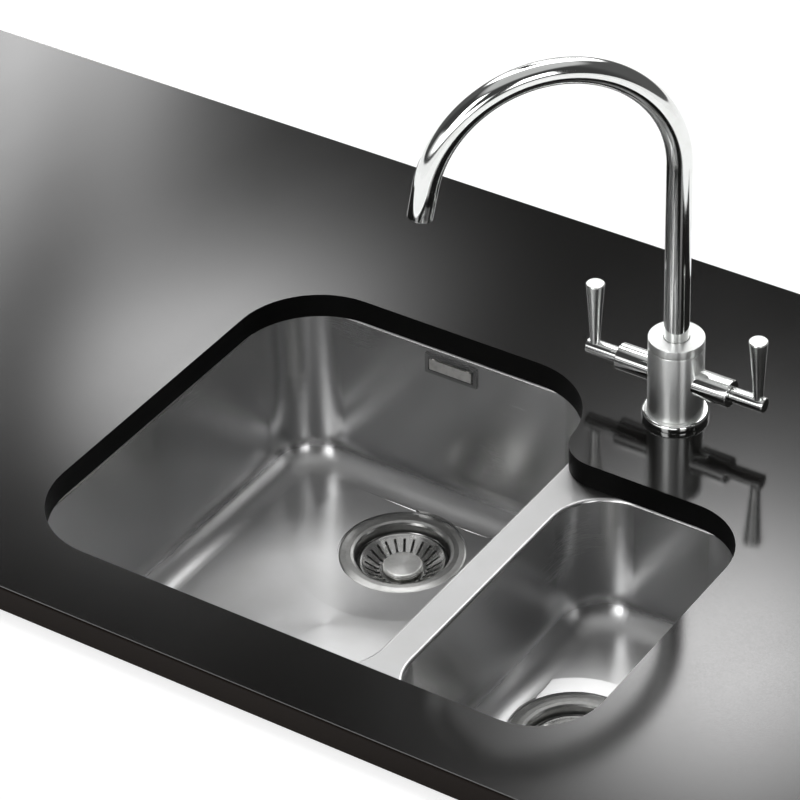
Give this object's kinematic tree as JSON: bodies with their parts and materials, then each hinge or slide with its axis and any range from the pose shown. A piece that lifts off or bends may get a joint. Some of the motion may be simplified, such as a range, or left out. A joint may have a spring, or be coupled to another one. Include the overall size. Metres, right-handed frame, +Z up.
{
  "type": "kitchen sink with mixer tap",
  "caption": "Undermount steel kitchen sink, a large and a small bowl with basket strainers, in a polished stone worktop with a swan neck mixer tap.",
  "frame": {"origin": "on the worktop's underside, halfway from front to back, over the middle of the cabinet's left side panel", "axes": "+X to the user's right along the worktop, +Y to the wall, +Z up"},
  "size_m": [1.25, 0.698, 0.6418],
  "materials": {
    "stone": "polished, near black, very fine grain",
    "bowl_steel": "satin, brushed along the walls",
    "chrome": "bright polished",
    "bare_steel": "pressed and tumbled",
    "brass": "turned, uncoated",
    "black_rubber": "matt",
    "sealant": "satin bead",
    "white_plastic": "moulded, fine texture",
    "grey_plastic": "moulded",
    "black_steel": "black oxide"
  },
  "bodies": {
    "sink": {"worktop": "stone", "sealant_bead": "sealant", "sink_flange": "bowl_steel", "main_bowl": "bowl_steel", "half_bowl": "bowl_steel", "fixing_clips": "bare_steel", "clip_screws": "bare_steel", "stone_inserts": "brass", "main_waste_flange": "bowl_steel", "main_waste_gasket": "black_rubber", "main_waste_housing": "white_plastic", "main_clamp_screw": "bare_steel", "half_waste_flange": "bowl_steel", "half_waste_gasket": "black_rubber", "half_waste_housing": "white_plastic", "half_clamp_screw": "bare_steel", "overflow_cover": "bowl_steel", "overflow_gasket": "black_rubber", "overflow_housing": "white_plastic", "overflow_pipe": "white_plastic", "overflow_nuts": "white_plastic", "tap_base_seal": "black_rubber", "tap_base_ring": "chrome", "tap_body": "chrome", "tap_cap": "chrome", "tap_shank": "brass", "clamp_gasket": "black_rubber", "clamp_plate": "bare_steel", "fixing_nut": "brass", "spout_bush": "white_plastic", "left_collar": "chrome", "left_cartridge": "brass", "right_collar": "chrome", "right_cartridge": "brass"},
    "spout": {"spout": "chrome", "spout_seals": "black_rubber", "flow_straightener": "grey_plastic"},
    "left_handle": {"left_spindle": "brass", "left_barrel": "chrome", "left_lever": "chrome", "left_grub_screw": "black_steel"},
    "right_handle": {"right_spindle": "brass", "right_barrel": "chrome", "right_lever": "chrome", "right_grub_screw": "black_steel"},
    "main_strainer": {"main_basket": "bowl_steel", "main_basket_seal": "black_rubber", "main_knob": "bowl_steel"},
    "half_strainer": {"half_basket": "bowl_steel", "half_basket_seal": "black_rubber", "half_knob": "bowl_steel"}
  },
  "joints": [
    {"name": "spout_swivel", "type": "hinge", "parent": "sink", "child": "spout", "pos_m": [0.522, 0.137, 0.085], "axis": [0, 0, 1], "continuous": true},
    {"name": "left_handle_turn", "type": "hinge", "parent": "sink", "child": "left_handle", "pos_m": [0.452, 0.137, 0.066], "axis": [1, 0, 0], "range_deg": [0, 90]},
    {"name": "right_handle_turn", "type": "hinge", "parent": "sink", "child": "right_handle", "pos_m": [0.592, 0.137, 0.066], "axis": [1, 0, 0], "range_deg": [-3, 87]},
    {"name": "main_strainer_lift", "type": "slide", "parent": "sink", "child": "main_strainer", "axis": [0, 0, 1], "range_m": [0, 0.22]},
    {"name": "half_strainer_lift", "type": "slide", "parent": "sink", "child": "half_strainer", "axis": [0, 0, 1], "range_m": [0, 0.18]}
  ]
}
